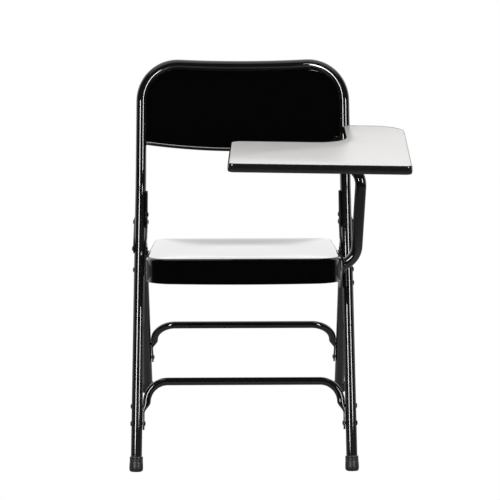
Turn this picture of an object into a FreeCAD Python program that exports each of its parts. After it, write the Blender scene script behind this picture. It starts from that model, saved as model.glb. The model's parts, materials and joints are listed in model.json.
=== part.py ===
"""Folding student desk chair with a writing tablet, as a parametric document in millimetres.

+X is the sitter's left, +Y points to the chair's back and +Z is up.  The side view is worked
out in (y, z) points of that frame, and every sub-part is moved at the end so that the origin is
the middle of the chair's footprint, on the floor.
"""
import FreeCAD, Part
import math
import os
import Sketcher

App = FreeCAD
Vector = App.Vector
Rotation = App.Rotation
Placement = App.Placement

DIMENSIONS = {
    # tubes, rods and sheet
    "tube_diameter": 22.2, "tube_wall": 1.2, "rod_diameter": 15.9, "sheet": 1.6, "strap": 2.0,
    # front frame: one bent tube, an upside-down U
    "front_foot_y": -192.0, "front_foot_x": 217.3, "front_taper": 0.0105, "front_lean": 23.0,
    "back_bend_height": 540.0, "back_lean": 18.0, "top_height": 792.0, "top_corner": 80.0,
    "top_bow": 37.0, "back_bend_radius": 150.0,
    # rear legs
    "rear_foot_y": 292.0, "rear_foot_x": 220.5, "rear_taper": 0.0183, "rear_leg_above_hinge": 8.0,
    "plug_lid_radius": 10.4,
    # folding linkage, heights above the floor and distances along the front tube
    "seat_pivot_height": 376.0, "hinge_link_rise": 44.0, "fold_gap": 26.0,
    "leg_hinge_station": 472.0, "seat_slot_height": 384.0, "slot_travel": 10.7, "slot_drift": 2.8,
    "pin_radius": 3.0, "running_play": 0.05, "link_half_width": 9.5,
    # seat
    "seat_front_y": -199.0, "seat_front_height": 441.0, "seat_slope": 7.9, "seat_depth": 405.0,
    "seat_half_width": 192.0, "seat_edge_radius": 4.5, "seat_front_corner": 48.0,
    "seat_rear_corner": 30.0, "apron_centre": 50.0, "apron_corner": 47.5, "side_skirt": 19.0,
    # back
    "panel_bottom": 612.8, "panel_half_width": 200.5, "panel_sheet": 1.6, "hem_radius": 3.4,
    "hem_curve": 9.1,
    # braces
    "front_brace_height": 165.0, "rear_brace_height": 192.0, "front_brace_bend": 42.0,
    "rear_brace_bend": 48.0,
    "brace_tab_width": 16.0, "brace_tab_thickness": 3.6,
    # feet and rivets
    "cap_radius": 13.7, "cap_length": 28.0, "rivet_radius": 2.6,
    "rivet_head_radius": 5.4, "rivet_head_height": 2.4,
    # writing tablet and its support arm
    "board_top": 659.0, "board_thickness": 16.0, "laminate": 1.2, "moulding": 2.6,
    "board_front_y": -375.0, "board_left_x": -22.0, "board_right_front_x": 312.0,
    "board_right_x": 330.0, "writing_depth": 232.0, "arm_part_x": 204.0, "board_rear_y": 57.0,
    "arm_y": -132.0, "arm_top_x": 231.2, "arm_top_height": 589.0, "arm_low_x": 223.6,
    "arm_low_height": 427.0, "arm_foot_height": 411.0, "arm_low_bend": 42.0, "arm_top_bend": 31.0,
    "arm_run_x": 210.5, "arm_run_y": -110.0, "arm_run_height": 608.0, "bracket_plate": 3.0,
    "saddle_length": 34.0, "saddle_wall": 2.0,
    # stop plates on the front tubes, above the links
    "stop_low": 463.0, "stop_high": 521.0, "stop_rivet_height": 482.0, "stop_half_width": 7.5,
    "stop_inner_x": 197.2, "stop_thickness": 3.4,
}

os.makedirs("parts", exist_ok=True)
doc = App.newDocument("StudentDeskChair")
sheet = doc.addObject("Spreadsheet::Sheet", "Dimensions")
for row, (alias, value) in enumerate(DIMENSIONS.items(), start=1):
    sheet.set(f"A{row}", alias)
    sheet.set(f"B{row}", str(value))
    sheet.setAlias(f"B{row}", alias)
doc.recompute()


def dim(alias):
    """A driving dimension, read back from the sheet."""
    return float(sheet.get(alias))


TUBE_RADIUS = dim("tube_diameter") / 2
BORE_RADIUS = TUBE_RADIUS - dim("tube_wall")
ROD_RADIUS = dim("rod_diameter") / 2
X_AXIS, Y_AXIS, Z_AXIS = Vector(1, 0, 0), Vector(0, 1, 0), Vector(0, 0, 1)
FAR = 2000.0
SIDES = (("left", 1), ("right", -1))
nodes = []

# heights where the legs carry rivets, and planes across the chair where flat parts stand
TUBE_START_HEIGHT = 6.0
FIXING_STATIONS = {"front": (119.0, 87.0), "rear": (138.0, 101.0)}
SEAT_SIDE_X = dim("seat_half_width")
EAR_OUTER_X = SEAT_SIDE_X + dim("strap")
BRACKET_X = 195.5
STRAP_INNER_X, STRAP_OUTER_X = 198.8, 224.4

# small fits of the shop: gaps under heads, weld depths, plugs, roundings and slot ends
HEAD_GAP, HEAD_SKIRT = 0.3, 1.7
CAP_BELOW_FLOOR, CAP_ROUND, CAP_LIP_ROUND = 4.0, 5.0, 2.0
PANEL_WELD, HEM_INSET, HEM_DROP = 2.0, 5.0, 1.6
PLUG_DEPTH, PLUG_LID = 3.5, 1.2
SLOT_DRIFT_BACK, SLOT_END = 0.6, 1.0
TAB_OVERLAP, TAB_TOE_DROP = 6.0, 3.0

# the top bar sweeps back on a large radius between two corners
BAR_CORNER_INSET, BAR_SWEEP, BAR_CORNER_SHARE = 2.2, 1.46, 1.05

# seat skirt: how the deep apron steps up to the shallow sides, and its bracket rivets
APRON_RETURN, APRON_SLOPE_END, BELOW_APRON = 12.0, 75.0, 9.0
SKIRT_RIVET_YS, SKIRT_RIVET_Z = (170.0, 294.5), -11.0
EAR_RADIUS, EAR_TOP_RADIUS, EAR_FRONT_REACH = 12.0, 7.0, 12.0

# writing board: outline roundings, its slight set on the arm, and what holds it
BOARD_YAW, BOARD_ROLL = -1.2, 0.8
BOARD_CORNER, BOARD_REAR_ROUND, BOARD_ELBOW_ROUND, BOARD_LEFT_ROUND = 12.0, 62.0, 60.0, 20.0
SADDLE_STARTS = {"front": -82.0, "rear": -6.0}
SADDLE_FLANGE, SADDLE_PLAY, SCREW_X = 26.5, 0.05, 19.5
REST_Y, REST_LENGTH, REST_REACH, REST_SHEET = -38.0, 26.0, 22.0, 3.0
ARM_RUN_END_Y, ARM_FOOT_LEAD = 57.0, 14.0
BRACKET_END_RADIUS, BRACKET_HEEL_RADIUS, BRACKET_HEEL = 14.5, 11.0, -28.0


# ---------------------------------------------------------------- side view of the folding frame
def front_side_y(height):
    """y of the front tube's axis at a height below the bend under the back."""
    return dim("front_foot_y") + math.tan(math.radians(dim("front_lean"))) * height


def front_tube_x(height):
    return dim("front_foot_x") - dim("front_taper") * height


def rear_leg_x(height):
    return dim("rear_foot_x") - dim("rear_taper") * height


LEAN = math.radians(dim("front_lean"))
ALONG = Vector(0, math.sin(LEAN), math.cos(LEAN))
BEHIND = Vector(0, math.cos(LEAN), -math.sin(LEAN))


def side_point(height, along=0.0, behind=0.0):
    """A point of the side view from a station on the front tube's axis."""
    return Vector(0, front_side_y(height), height) + ALONG * along + BEHIND * behind


SEAT_PIVOT = side_point(dim("seat_pivot_height"))
LINK_PIVOT = side_point(dim("seat_pivot_height"), along=dim("hinge_link_rise"))
LEG_HINGE = side_point(dim("leg_hinge_station"), behind=dim("fold_gap"))
REAR_FOOT = Vector(0, dim("rear_foot_y"), 0)
LEG_SLOPE = (LEG_HINGE - REAR_FOOT).normalize()


def rear_leg_point(height):
    """The rear leg's axis in the side view, at a height."""
    return REAR_FOOT + LEG_SLOPE * (height / LEG_SLOPE.z)


SEAT_SLOT = rear_leg_point(dim("seat_slot_height"))

BACK_LEAN = math.radians(dim("back_lean"))
BACK_UP = Vector(0, math.sin(BACK_LEAN), math.cos(BACK_LEAN))
BACK_REARWARD = Vector(0, math.cos(BACK_LEAN), -math.sin(BACK_LEAN))
BACK_START = Vector(0, front_side_y(dim("back_bend_height")), dim("back_bend_height"))


def back_point(height, x=0.0):
    """A point of the leaning plane of the back, at a height."""
    return BACK_START + BACK_UP * ((height - BACK_START.z) / BACK_UP.z) + X_AXIS * x


ARM_RIVET = side_point(dim("seat_pivot_height"), along=BRACKET_HEEL)


# ------------------------------------------------------------------------------ shared builders
def keep(feature, label):
    """Register a finished sub-part under its node name."""
    feature.Label = label
    nodes.append(feature)
    return feature


def bind(feature, **expressions):
    """Bind properties of a feature to cells of the sheet."""
    for name, expression in expressions.items():
        feature.setExpression(name, expression)


def cells(expression):
    """Write an expression over the sheet's aliases in the sheet's own form."""
    words = []
    for word in expression.split():
        words.append(f"Dimensions.{word}" if word in DIMENSIONS else word)
    return " ".join(words)


def bent_path(points, radii):
    """A wire of straight runs joined by tangent arcs, one radius at each inner point."""
    edges = []
    start = points[0]
    for before, corner, after, radius in zip(points, points[1:], points[2:], radii):
        arrive = (corner - before).normalize()
        leave = (after - corner).normalize()
        half_turn = arrive.getAngle(leave) / 2
        trim = radius * math.tan(half_turn)
        first, last = corner - arrive * trim, corner + leave * trim
        inward = (leave - arrive).normalize()
        middle = corner + inward * (radius / math.cos(half_turn) - radius)
        if (first - start).Length > 1e-3:
            edges.append(Part.LineSegment(start, first).toShape())
        edges.append(Part.Arc(first, middle, last).toShape())
        start = last
    edges.append(Part.LineSegment(start, points[-1]).toShape())
    return Part.Wire(edges)


def swept(name, spine, radius_expression):
    """A round solid along a path: a circle whose radius is bound to the sheet, swept."""
    edge = spine.Shape.Edges[0]
    direction = edge.tangentAt(edge.FirstParameter)
    circle = doc.addObject("Part::Circle", name + "_section")
    bind(circle, Radius=cells(radius_expression))
    circle.Placement = Placement(edge.valueAt(edge.FirstParameter), Rotation(Z_AXIS, direction))
    sweep = doc.addObject("Part::Sweep", name)
    sweep.Sections = [circle]
    sweep.Spine = (spine, [f"Edge{i + 1}" for i in range(len(spine.Shape.Edges))])
    sweep.Solid = True
    sweep.Frenet = False
    return sweep


def path_feature(name, wire):
    feature = doc.addObject("Part::Feature", name)
    feature.Shape = wire
    return feature


def rod(name, start, direction, length, radius_expression):
    """A cylinder from a point along a direction, with its radius bound to the sheet."""
    cylinder = doc.addObject("Part::Cylinder", name)
    bind(cylinder, Radius=cells(radius_expression))
    cylinder.Height = length
    cylinder.Placement = Placement(start, Rotation(Z_AXIS, direction))
    return cylinder


def cross_hole(name, point, side, radius_expression, reach=40.0):
    """A drill along X through the tube on one side, centred on the tube's axis."""
    start = Vector(side * point.x - reach / 2, point.y, point.z)
    return rod(name, start, X_AXIS, reach, radius_expression)


def cut(name, base, tools):
    """Base minus several tools."""
    group = tools[0]
    if len(tools) > 1:
        group = doc.addObject("Part::MultiFuse", name + "_tools")
        group.Shapes = tools
    result = doc.addObject("Part::Cut", name)
    result.Base = base
    result.Tool = group
    return result


def new_body(label, placement=None):
    body = doc.addObject("PartDesign::Body", label)
    if placement:
        body.Placement = placement
    return keep(body, label)


def new_sketch(body, name, role="XY_Plane"):
    sketch = body.newObject("Sketcher::SketchObject", name)
    plane = next(f for f in body.Origin.OriginFeatures if f.Role == role)
    sketch.AttachmentSupport = (plane, "")
    sketch.MapMode = "FlatFace"
    return sketch


def bound_circle(sketch, centre, radius_expression):
    """A circle with its centre placed and its radius bound to the sheet."""
    index = sketch.addGeometry(Part.Circle(Vector(centre[0], centre[1], 0), Z_AXIS, 1.0))
    sketch.addConstraint(Sketcher.Constraint("DistanceX", -1, 1, index, 3, centre[0]))
    sketch.addConstraint(Sketcher.Constraint("DistanceY", -1, 1, index, 3, centre[1]))
    radius = sketch.addConstraint(Sketcher.Constraint("Radius", index, 1.0))
    sketch.setExpression(f"Constraints[{radius}]", cells(radius_expression))


def pad(body, sketch, length_expression, name, **settings):
    feature = body.newObject("PartDesign::Pad", name)
    feature.Profile = sketch
    feature.setExpression("Length", cells(length_expression))
    for key, value in settings.items():
        setattr(feature, key, value)
    return feature


def pocket_through(body, sketch, name):
    """Cut a profile through everything on both sides of its plane."""
    feature = body.newObject("PartDesign::Pocket", name)
    feature.Profile = sketch
    feature.Type = "ThroughAll"
    feature.Midplane = True
    return feature


def hull_outline(circles):
    """The outline round circles (x, y, radius), given anticlockwise: tangent lines and arcs."""
    joints = []
    for (x1, y1, r1), (x2, y2, r2) in zip(circles, circles[1:] + circles[:1]):
        run = Vector(x2 - x1, y2 - y1, 0)
        along = Vector(run).normalize()
        lean = (r1 - r2) / run.Length
        normal = along * lean + Vector(along.y, -along.x, 0) * math.sqrt(1 - lean * lean)
        joints.append((Vector(x1, y1, 0) + normal * r1, Vector(x2, y2, 0) + normal * r2, normal))
    outline = []
    for (x, y, radius), arriving, leaving in zip(circles, joints[-1:] + joints[:-1], joints):
        first = math.atan2(arriving[2].y, arriving[2].x)
        turn = (math.atan2(leaving[2].y, leaving[2].x) - first) % (2 * math.pi)
        middle = Vector(math.cos(first + turn / 2), math.sin(first + turn / 2), 0)
        outline.append(Part.Arc(arriving[1], Vector(x, y, 0) + middle * radius, leaving[0]))
        outline.append(Part.LineSegment(leaving[0], leaving[1]))
    return outline


def rounded_outline(corners):
    """A closed outline through corners (x, y, radius), each rounded; concave ones too."""
    outline = []
    arcs = []
    for before, here, after in zip(corners[-1:] + corners[:-1], corners, corners[1:] + corners[:1]):
        point = Vector(here[0], here[1], 0)
        arrive = (point - Vector(before[0], before[1], 0)).normalize()
        leave = (Vector(after[0], after[1], 0) - point).normalize()
        half_turn = arrive.getAngle(leave) / 2
        trim = here[2] * math.tan(half_turn)
        inward = (leave - arrive).normalize()
        middle = point + inward * (here[2] / math.cos(half_turn) - here[2])
        arcs.append((point - arrive * trim, middle, point + leave * trim))
    for (first, middle, last), (following, _, _) in zip(arcs, arcs[1:] + arcs[:1]):
        outline.append(Part.Arc(first, middle, last))
        outline.append(Part.LineSegment(last, following))
    return outline


def inset(corners, distance):
    """The same anticlockwise corners moved inwards, keeping the rounding concentric."""
    moved = []
    for before, here, after in zip(corners[-1:] + corners[:-1], corners, corners[1:] + corners[:1]):
        point = Vector(here[0], here[1], 0)
        arrive = (point - Vector(before[0], before[1], 0)).normalize()
        leave = (Vector(after[0], after[1], 0) - point).normalize()
        turn = arrive.x * leave.y - arrive.y * leave.x
        left = Vector(-arrive.y, arrive.x, 0)
        shift = left + arrive * ((1 - arrive.dot(leave)) / -turn)
        moved_point = point + shift * distance
        radius = here[2] - distance if turn > 0 else here[2] + distance
        moved.append((moved_point.x, moved_point.y, radius))
    return moved


def plate(label, circles, holes, inner_x, thickness_expression, side):
    """A flat plate in the side view: a hull of circles with bound holes, outboard of inner_x."""
    body = new_body(label)
    outline = new_sketch(body, label + "_outline", "YZ_Plane")
    outline.addGeometry(hull_outline(circles))
    for y, z, radius_expression in holes:
        bound_circle(outline, (y, z), radius_expression)
    pad(body, outline, thickness_expression, label + "_pad", Reversed=side < 0)
    body.Placement = Placement(Vector(side * inner_x, 0, 0), Rotation())
    return body


def dome(name, centre, direction):
    """A rivet's domed head on a plane, its sizes bound to the sheet."""
    head = doc.addObject("Part::Ellipsoid", name)
    bind(head, Radius1=cells("rivet_head_height"), Radius2=cells("rivet_head_radius"))
    head.Angle1 = 0
    head.Placement = Placement(centre, Rotation(Z_AXIS, direction))
    return head


def fuse(name, shapes):
    result = doc.addObject("Part::MultiFuse", name)
    result.Shapes = shapes
    return result


def cross_rivet(label, side, point, inner_x, outer_x, shank_expression, collars=(), inner_head=True,
                tube=None):
    """A rivet along X through one side's parts: a shank, domed heads and collars (from, to)."""
    out = X_AXIS * side
    base = Vector(0, point.y, point.z)
    shank = rod(label + "_shank", base + out * inner_x, out, outer_x - inner_x, shank_expression)
    pieces = [dome(label + "_outer_head", base + out * outer_x, out)]
    if tube:
        skirt = rod(label + "_skirt", base + out * (outer_x - HEAD_SKIRT), out, HEAD_SKIRT,
                    "rivet_head_radius")
        pieces.append(skirt)
    if inner_head:
        pieces.append(dome(label + "_inner_head", base + out * inner_x, -out))
    for number, (first, last) in enumerate(collars):
        pieces.append(rod(f"{label}_collar{number}", base + out * first, out, last - first,
                          "rivet_head_radius"))
    heads = fuse(label + "_heads", pieces)
    if tube:
        heads = cut(label + "_formed_heads", heads, [tube])
    return keep(fuse(label, [shank, heads]), label)


# ------------------------------------------------------------------------------- the front frame
def mirrored(points):
    return [Vector(-p.x, p.y, p.z) for p in reversed(points)]


def front_leg_point(height, side=1):
    return Vector(side * front_tube_x(height), front_side_y(height), height)


def front_frame_tube():
    """One tube: up both sides, bent back a little under the back, with a bowed top bar."""
    bend_x = front_tube_x(dim("back_bend_height"))
    top_axis = dim("top_height") - TUBE_RADIUS
    corner_x = bend_x - BAR_CORNER_INSET
    apex_slope = math.atan(dim("top_bow") / corner_x * BAR_SWEEP)
    apex = back_point(top_axis) + BACK_REARWARD * (corner_x * math.tan(apex_slope))
    side = [front_leg_point(TUBE_START_HEIGHT), front_leg_point(dim("back_bend_height")),
            back_point(top_axis, corner_x)]
    half_bar = (side[2] - apex).Length - dim("top_corner") * BAR_CORNER_SHARE
    bow_radius = half_bar / math.tan(apex_slope)
    radii = [dim("back_bend_radius"), dim("top_corner")]
    spine = path_feature("front_frame_path", bent_path(
        side + [apex] + mirrored(side), radii[:2] + [bow_radius] + radii[1::-1]))
    outer = swept("front_frame_outer", spine, "tube_diameter / 2")
    bore = swept("front_frame_bore", spine, "tube_diameter / 2 - tube_wall")
    drills = []
    for name, side_sign in SIDES:
        for number, station in enumerate(FIXING_STATIONS["front"]):
            drills.append(cross_hole(f"front_{name}_brace_drill{number}", front_leg_point(station),
                                     side_sign, "rivet_radius"))
        for purpose, point in (("seat", SEAT_PIVOT), ("link", LINK_PIVOT)):
            centre = Vector(front_tube_x(point.z), point.y, point.z)
            drills.append(cross_hole(f"front_{name}_{purpose}_drill", centre, side_sign,
                                     "pin_radius"))
        stop = front_leg_point(dim("stop_rivet_height"), side_sign)
        inward = X_AXIS * -side_sign
        drills.append(rod(f"front_{name}_stop_drill", stop, inward, 2 * TUBE_RADIUS,
                          "rivet_radius"))
    bracket_point = front_leg_point(ARM_RIVET.z)
    drills.append(cross_hole("front_left_bracket_drill", bracket_point, 1, "pin_radius"))
    keep(cut("front_frame_tube", outer, [bore] + drills), "front_frame_tube")
    return outer


def brace(label, point_at, direction, stations, tube_x_at, tube):
    """A bent rod across a pair of legs, with flat ends riveted to the tubes' inner faces."""
    inner_face = tube_x_at(stations[0]) - TUBE_RADIUS - HEAD_GAP
    rod_x = inner_face - ROD_RADIUS
    bar, bend = point_at(dim(label + "_height")), dim(label + "_bend")
    bend_end = bar - direction * (bend + 0.5)
    side = [bend_end + X_AXIS * rod_x, bar + X_AXIS * rod_x]
    spine = path_feature(label + "_path", bent_path(side + mirrored(side), [bend, bend]))
    pieces = [swept(label + "_rod", spine, "rod_diameter / 2")]
    drills = []
    tab_end = point_at(stations[1]) - direction * (dim("brace_tab_width") / 2 - TAB_TOE_DROP)
    tab_start = bend_end + direction * TAB_OVERLAP
    for name, sign in SIDES:
        tab = doc.addObject("Part::Box", f"{label}_{name}_tab")
        bind(tab, Length=cells("brace_tab_thickness"), Width=cells("brace_tab_width"))
        tab.Height = (tab_start - tab_end).Length
        tab_x = inner_face - dim("brace_tab_thickness") if sign > 0 else -inner_face
        across = direction.cross(X_AXIS)
        corner = tab_end + X_AXIS * tab_x - across * (dim("brace_tab_width") / 2)
        tab.Placement = Placement(corner, Rotation(X_AXIS, across, direction, "ZXY"))
        toe = rod(f"{label}_{name}_toe", tab_end + X_AXIS * tab_x, X_AXIS,
                  dim("brace_tab_thickness"), "brace_tab_width / 2")
        pieces += [tab, toe]
        for number, station in enumerate(stations):
            point = point_at(station)
            drills.append(cross_hole(f"{label}_{name}_drill{number}",
                                     Vector(inner_face, point.y, point.z), sign, "rivet_radius"))
            rivet = f"{label}_{name}_{('upper', 'lower')[number]}_rivet"
            cross_rivet(rivet, sign, point, inner_face - dim("brace_tab_thickness"),
                        tube_x_at(station) + TUBE_RADIUS, "rivet_radius", tube=tube[sign])
    return keep(cut(label, fuse(label + "_blank", pieces), drills), label)


def foot_cap(label, foot, direction):
    """A rubber ferrule along the leg, rounded at the bottom and worn flat on the floor."""
    start = foot - direction * CAP_BELOW_FLOOR
    blank = rod(label + "_blank", start, direction, dim("cap_length") + CAP_BELOW_FLOOR, "cap_radius")
    doc.recompute()
    rounded = doc.addObject("Part::Fillet", label + "_rounded")
    rounded.Base = blank
    rounded.Edges = [(number + 1, radius, radius) for number, edge in enumerate(blank.Shape.Edges)
                     if isinstance(edge.Curve, Part.Circle)
                     for radius in [CAP_ROUND if (edge.Curve.Center - start).Length < 1 else CAP_LIP_ROUND]]
    socket_start = foot + direction * (TUBE_START_HEIGHT / direction.z)
    socket = rod(label + "_socket", socket_start, direction, dim("cap_length"),
                 "tube_diameter / 2")
    floor = doc.addObject("Part::Box", label + "_floor")
    floor.Length = floor.Width = floor.Height = 4 * dim("cap_length")
    floor.Placement.Base = foot - Vector(floor.Length.Value / 2, floor.Width.Value / 2,
                                         floor.Height.Value)
    return keep(cut(label, rounded, [socket, floor]), label)


def backrest():
    """A concave sheet between the tubes, with a rolled hem along its lower edge."""
    half, bow, thick = dim("panel_half_width"), dim("top_bow"), dim("panel_sheet")
    frame = Placement(back_point(dim("panel_bottom")), Rotation(X_AXIS, -dim("back_lean")))
    rise = (dim("top_height") - TUBE_RADIUS - dim("panel_bottom")) / math.cos(BACK_LEAN)
    top = rise - TUBE_RADIUS + PANEL_WELD
    panel = new_body("backrest_panel", frame)
    section = new_sketch(panel, "backrest_section")
    front = [Vector(-half, 0, 0), Vector(0, bow, 0), Vector(half, 0, 0)]
    rear = [Vector(-half, thick, 0), Vector(0, bow + thick, 0), Vector(half, thick, 0)]
    section.addGeometry([Part.Arc(*front), Part.LineSegment(front[2], rear[2]),
                         Part.Arc(*reversed(rear)), Part.LineSegment(rear[0], front[0])])
    pad(panel, section, "( top_height - panel_bottom ) / cos( back_lean )", "backrest_pad")
    trim = new_sketch(panel, "backrest_trim", "XZ_Plane")
    corner = dim("top_corner") - TUBE_RADIUS + PANEL_WELD
    hem_rise = dim("hem_curve")
    edge_x = half - corner
    slope = corner * (1 - math.sqrt(0.5))
    left_top = [Vector(-half, top - corner, 0), Vector(slope - half, top - slope, 0),
                Vector(-edge_x, top, 0)]
    right_top = [Vector(-p.x, p.y, 0) for p in reversed(left_top)]
    low = [Vector(-half, hem_rise, 0), Vector(0, 0, 0), Vector(half, hem_rise, 0)]
    trim.addGeometry([Part.Arc(*low), Part.LineSegment(low[2], right_top[2]), Part.Arc(*right_top),
                      Part.LineSegment(right_top[0], left_top[2]), Part.Arc(*left_top),
                      Part.LineSegment(left_top[0], low[0])])
    frame_corners = [Vector(x, y, 0) for x, y in ((-FAR, -FAR), (FAR, -FAR), (FAR, FAR), (-FAR, FAR))]
    trim.addGeometry([Part.LineSegment(a, b)
                      for a, b in zip(frame_corners, frame_corners[1:] + frame_corners[:1])])
    pocket_through(panel, trim, "backrest_trimmed")
    hem_half = half - HEM_INSET
    arc = Part.Arc(Vector(-hem_half, thick / 2 + HEM_DROP, hem_rise), Vector(0, bow + thick / 2, 0),
                   Vector(hem_half, thick / 2 + HEM_DROP, hem_rise)).toShape()
    arc.Placement = frame
    spine = path_feature("backrest_hem_path", Part.Wire([arc]))
    roll = swept("backrest_hem_roll", spine, "hem_radius")
    return keep(cut("backrest_hem", roll, [panel]), "backrest_hem")


def front_frame_fixings(tube):
    """Rivets that the seat and the hinge links turn on."""
    for name, side in SIDES:
        outer_x = front_tube_x(SEAT_PIVOT.z) + TUBE_RADIUS
        inner_face = front_tube_x(SEAT_PIVOT.z) - TUBE_RADIUS + HEAD_SKIRT
        collars = [(EAR_OUTER_X + HEAD_GAP, inner_face)]
        if side > 0:
            collars = [(EAR_OUTER_X + HEAD_GAP, BRACKET_X),
                       (BRACKET_X + dim("bracket_plate"), inner_face)]
        cross_rivet(f"{name}_seat_pivot", side, SEAT_PIVOT, SEAT_SIDE_X - HEAD_GAP, outer_x,
                    "pin_radius", collars, tube=tube)
        link_rivet(f"{name}_link_pivot", side, LINK_PIVOT)


def stop_plates():
    """A plate inside each front tube, above the links, where the opened rear legs come to rest."""
    low, high = side_point(dim("stop_low")), side_point(dim("stop_high"))
    rivet = side_point(dim("stop_rivet_height"))
    circles = [(p.y, p.z, dim("stop_half_width")) for p in (low, high)]
    holes = [(rivet.y, rivet.z, "rivet_radius")]
    inner_x = dim("stop_inner_x")
    for name, side in SIDES:
        plate(f"{name}_stop_plate", circles, holes, inner_x, "stop_thickness", side)
        out, base = X_AXIS * side, rivet + X_AXIS * (side * inner_x)
        shank = rod(f"{name}_stop_shank", base, out, front_tube_x(rivet.z) - BORE_RADIUS - inner_x,
                    "rivet_radius")
        head = dome(f"{name}_stop_head", base, -out)
        keep(fuse(f"{name}_stop_rivet", [shank, head]), f"{name}_stop_rivet")


def link_rivet(label, side, point):
    """A rivet through both straps and the tube between them."""
    strap_end = STRAP_OUTER_X + dim("strap")
    cross_rivet(label, side, point, STRAP_INNER_X - HEAD_GAP, strap_end + HEAD_GAP, "pin_radius")


# ------------------------------------------------------------------------ links and the rear frame
def hinge_links():
    """Two straps on each side, inside and outside the tubes, from front tube to rear leg."""
    half = dim("link_half_width")
    circles = [(p.y, p.z, half) for p in (LINK_PIVOT, LEG_HINGE)]
    holes = [(p.y, p.z, "pin_radius + running_play") for p in (LINK_PIVOT, LEG_HINGE)]
    for name, side in SIDES:
        for place, inner_x in (("inner", STRAP_INNER_X), ("outer", STRAP_OUTER_X)):
            plate(f"{name}_{place}_hinge_link", circles, holes, inner_x, "strap * 0.9", side)


def rear_leg_axis(side):
    """Foot point and direction of a rear leg, splayed outwards towards the floor."""
    foot = Vector(side * rear_leg_x(0), REAR_FOOT.y, 0)
    hinge = Vector(side * rear_leg_x(LEG_HINGE.z), LEG_HINGE.y, LEG_HINGE.z)
    return foot, (hinge - foot).normalize(), (hinge - foot).Length


def rear_frame():
    tubes = {}
    for name, side in SIDES:
        foot, direction, reach = rear_leg_axis(side)
        lift = TUBE_START_HEIGHT / direction.z
        length = reach + dim("rear_leg_above_hinge") - lift
        start = foot + direction * lift
        outer = rod(f"rear_{name}_outer", start, direction, length, "tube_diameter / 2")
        bore = rod(f"rear_{name}_bore", start, direction, length, "tube_diameter / 2 - tube_wall")
        drills = []
        for number, station in enumerate(FIXING_STATIONS["rear"]):
            point = rear_leg_point(station)
            centre = Vector(rear_leg_x(station), point.y, station)
            drills.append(cross_hole(f"rear_{name}_brace_drill{number}", centre, side,
                                     "rivet_radius"))
        for purpose, point in (("slot", SEAT_SLOT), ("hinge", LEG_HINGE)):
            centre = Vector(rear_leg_x(point.z), point.y, point.z)
            drills.append(cross_hole(f"rear_{name}_{purpose}_drill", centre, side, "pin_radius"))
        keep(cut(f"rear_{name}_leg", outer, [bore] + drills), f"rear_{name}_leg")
        tubes[side] = outer
        link_rivet(f"{name}_leg_hinge_rivet", side, LEG_HINGE)
        slot_x = rear_leg_x(SEAT_SLOT.z)
        cross_rivet(f"{name}_slot_stud", side, SEAT_SLOT, SEAT_SIDE_X + HEAD_GAP,
                    slot_x + TUBE_RADIUS, "pin_radius",
                    [(EAR_OUTER_X + HEAD_GAP, slot_x - TUBE_RADIUS + HEAD_SKIRT)],
                    inner_head=False, tube=outer)
        foot_cap(f"rear_{name}_foot_cap", foot, direction)
        plug_start = start + direction * (length - PLUG_DEPTH)
        plug = rod(f"rear_{name}_plug_stem", plug_start, direction, PLUG_DEPTH,
                   "tube_diameter / 2 - tube_wall")
        lid = rod(f"rear_{name}_plug_lid", start + direction * length, direction, PLUG_LID,
                  "plug_lid_radius")
        keep(fuse(f"rear_{name}_leg_plug", [plug, lid]), f"rear_{name}_leg_plug")
    brace("rear_brace", rear_leg_point, LEG_SLOPE, FIXING_STATIONS["rear"], rear_leg_x, tubes)


# ------------------------------------------------------------------------------------- the seat
def seat_frame():
    origin = Vector(0, dim("seat_front_y"), dim("seat_front_height"))
    return Placement(origin, Rotation(X_AXIS, -dim("seat_slope")))


def seat_pan():
    """A pressed steel pan: flat top, deep front apron and shallow skirts, rounded in plan."""
    half, depth = dim("seat_half_width"), dim("seat_depth")
    front, rear, wall = dim("seat_front_corner"), dim("seat_rear_corner"), dim("sheet")
    corners = [(-half, 0, front), (half, 0, front), (half, depth, rear), (-half, depth, rear)]
    body = new_body("seat_pan", seat_frame())
    outer = new_sketch(body, "seat_outline")
    outer.addGeometry(rounded_outline(corners))
    blank = pad(body, outer, "apron_centre", "seat_blank", Reversed=True)
    doc.recompute()
    soft = body.newObject("PartDesign::Fillet", "seat_edge")
    soft.Base = (blank, top_edge_names(blank))
    soft.setExpression("Radius", cells("seat_edge_radius"))
    inner = new_sketch(body, "seat_hollow_outline")
    inner.addGeometry(rounded_outline(inset(corners, wall)))
    inner.AttachmentOffset = Placement(Vector(0, 0, -wall), Rotation())
    hollow = body.newObject("PartDesign::Pocket", "seat_hollow")
    hollow.Profile = inner
    hollow.Type = "ThroughAll"
    apron = new_sketch(body, "apron_edge", "XZ_Plane")
    low, high = -dim("apron_centre"), -dim("apron_corner")
    past, under = half + 1, low - BELOW_APRON
    arc = [Vector(past, high, 0), Vector(0, low + 0.01, 0), Vector(-past, high, 0)]
    below = [Vector(-past, under, 0), Vector(past, under, 0)]
    apron.addGeometry([Part.Arc(*arc), Part.LineSegment(arc[2], below[0]),
                       Part.LineSegment(*below), Part.LineSegment(below[1], arc[0])])
    pocket_through(body, apron, "apron_curve")
    skirt = new_sketch(body, "skirt_edge", "YZ_Plane")
    skirt_z, behind = -dim("side_skirt"), depth + BELOW_APRON
    steps = [(front, under), (front + APRON_RETURN, high), (front + APRON_SLOPE_END, skirt_z),
             (behind, skirt_z), (behind, under)]
    points = [Vector(y, z, 0) for y, z in steps]
    skirt.addGeometry([Part.LineSegment(a, b) for a, b in zip(points, points[1:] + points[:1])])
    pocket_through(body, skirt, "skirt_step")
    return body


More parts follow.
